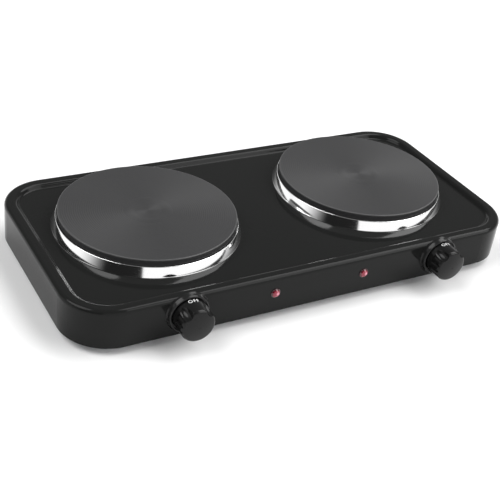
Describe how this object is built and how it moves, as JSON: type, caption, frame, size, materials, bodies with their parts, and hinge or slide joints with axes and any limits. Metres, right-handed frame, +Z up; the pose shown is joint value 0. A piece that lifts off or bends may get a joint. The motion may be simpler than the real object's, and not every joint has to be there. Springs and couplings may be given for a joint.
{
  "type": "hot plate burner",
  "caption": "Double electric hot plate: low black enamelled pan, round cast-iron plates with bright trim rings, rotary knobs and red lamps in front.",
  "frame": {"origin": "on the surface the feet stand on, under the middle of the overall box", "axes": "+X along the width, -Y towards the front with the knobs, +Z up"},
  "size_m": [0.52, 0.283, 0.063],
  "materials": {
    "black_enamel": "glossy black enamel",
    "galvanised_steel": "galvanised sheet steel",
    "plated_steel": "zinc-plated steel",
    "rubber": "matt black rubber",
    "cast_iron": "turned cast iron, heat-blackened",
    "bright_steel": "polished stainless steel",
    "resistance_wire": "oxidised resistance wire",
    "magnesia": "pressed magnesia powder",
    "ceramic": "unglazed steatite",
    "brass": "plain brass",
    "bezel_plastic": "glossy black",
    "knob_plastic": "glossy black thermoset",
    "red_lens": "clear red dome",
    "lamp_barrel": "natural nylon",
    "bushing_plastic": "matt black",
    "wire_brown": "brown silicone sleeve",
    "wire_black": "black silicone sleeve",
    "wire_blue": "blue silicone sleeve",
    "wire_green": "green and yellow silicone sleeve",
    "wire_white": "white fibreglass sleeve"
  },
  "bodies": {
    "pan": {"housing": "black_enamel", "base_plate": "galvanised_steel", "base_screws": "plated_steel", "foot_screws": "plated_steel", "thermostat_screws": "plated_steel", "lamp_clips": "plated_steel", "cord_bushing": "bushing_plastic", "terminal_block": "ceramic", "terminal_screws": "brass", "earth_stud": "brass", "wire_earth": "wire_green", "foot_front_left": "rubber", "foot_rear_left": "rubber", "hot_plate_left": "cast_iron", "trim_ring_left": "bright_steel", "heating_coils_left": "resistance_wire", "magnesia_bed_left": "magnesia", "element_cover_left": "galvanised_steel", "terminal_insulator_left": "ceramic", "centre_stud_left": "plated_steel", "clamp_bridge_left": "galvanised_steel", "stud_nut_left": "plated_steel", "knob_bezel_left": "bezel_plastic", "thermostat_frame_left": "galvanised_steel", "thermostat_stack_left": "ceramic", "contact_leaf_left": "brass", "lamp_lens_left": "red_lens", "lamp_body_left": "lamp_barrel", "wire_live_left": "wire_brown", "wire_load_left": "wire_black", "wire_neutral_left": "wire_blue", "lamp_leads_left": "wire_white", "foot_front_right": "rubber", "foot_rear_right": "rubber", "hot_plate_right": "cast_iron", "trim_ring_right": "bright_steel", "heating_coils_right": "resistance_wire", "magnesia_bed_right": "magnesia", "element_cover_right": "galvanised_steel", "terminal_insulator_right": "ceramic", "centre_stud_right": "plated_steel", "clamp_bridge_right": "galvanised_steel", "stud_nut_right": "plated_steel", "knob_bezel_right": "bezel_plastic", "thermostat_frame_right": "galvanised_steel", "thermostat_stack_right": "ceramic", "contact_leaf_right": "brass", "lamp_lens_right": "red_lens", "lamp_body_right": "lamp_barrel", "wire_live_right": "wire_brown", "wire_load_right": "wire_black", "wire_neutral_right": "wire_blue", "lamp_leads_right": "wire_white"},
    "knob_left_turning": {"knob_left": "knob_plastic", "thermostat_spindle_left": "plated_steel"},
    "push_pin_left_sliding": {"push_pin_left": "ceramic"},
    "knob_right_turning": {"knob_right": "knob_plastic", "thermostat_spindle_right": "plated_steel"},
    "push_pin_right_sliding": {"push_pin_right": "ceramic"}
  },
  "joints": [
    {"name": "knob_left_turn", "type": "hinge", "parent": "pan", "child": "knob_left_turning", "pos_m": [-0.1495, -0.1145, 0.033], "axis": [0, 1, 0], "range_deg": [0, 280]},
    {"name": "push_pin_left_slide", "type": "slide", "parent": "pan", "child": "push_pin_left_sliding", "axis": [0, 1, 0], "range_m": [0, 0.0012]},
    {"name": "knob_right_turn", "type": "hinge", "parent": "pan", "child": "knob_right_turning", "pos_m": [0.1495, -0.1145, 0.033], "axis": [0, 1, 0], "range_deg": [0, 280]},
    {"name": "push_pin_right_slide", "type": "slide", "parent": "pan", "child": "push_pin_right_sliding", "axis": [0, 1, 0], "range_m": [0, 0.0012]}
  ],
  "couplings": [
    {"joint": "push_pin_left_slide", "follows": "knob_left_turn", "m_per_rad": 0.00024555},
    {"joint": "push_pin_right_slide", "follows": "knob_right_turn", "m_per_rad": 0.00024555}
  ]
}
